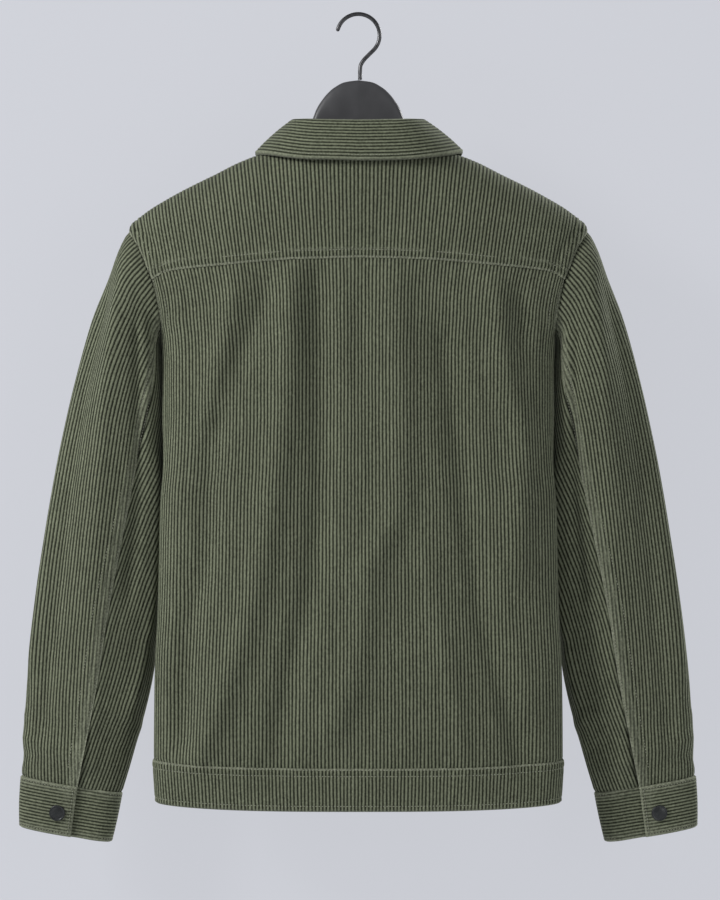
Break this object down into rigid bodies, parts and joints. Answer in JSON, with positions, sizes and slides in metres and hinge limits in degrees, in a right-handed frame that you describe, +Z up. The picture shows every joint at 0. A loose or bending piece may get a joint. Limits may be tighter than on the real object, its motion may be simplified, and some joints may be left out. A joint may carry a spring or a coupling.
{
  "type": "corduroy jacket on a hanger",
  "caption": "Hollow corduroy jacket with back yoke, collar, cuffs and waistband, closed at the front and hung on a plain hanger by its wire hook.",
  "frame": {"origin": "inside top of the hanger's hook, where a rail or peg holds the whole part", "axes": "+Z up; the jacket's front faces -Y and its back +Y; the wearer's left is +X"},
  "size_m": [0.7234, 0.1376, 0.8827],
  "materials": {
    "corduroy": "wide-wale cotton corduroy, olive green, garment washed",
    "snap_metal": "dark satin cap",
    "hanger": "matt charcoal",
    "hook_wire": "dark satin wire"
  },
  "bodies": {
    "root": {"back_yoke": "corduroy", "back_panel": "corduroy", "front_left": "corduroy", "front_right": "corduroy", "waistband": "corduroy", "sleeve_outer_left": "corduroy", "sleeve_outer_right": "corduroy", "sleeve_under_left": "corduroy", "sleeve_under_right": "corduroy", "cuff_left": "corduroy", "cuff_right": "corduroy", "collar_leaf": "corduroy", "collar_stand": "corduroy", "cuff_snap_left": "snap_metal", "cuff_snap_right": "snap_metal", "front_snap_1": "snap_metal", "front_snap_2": "snap_metal", "front_snap_3": "snap_metal", "front_snap_4": "snap_metal", "front_snap_5": "snap_metal", "waistband_snap": "snap_metal", "hanger_body": "hanger", "hanger_hook": "hook_wire"}
  },
  "joints": []
}
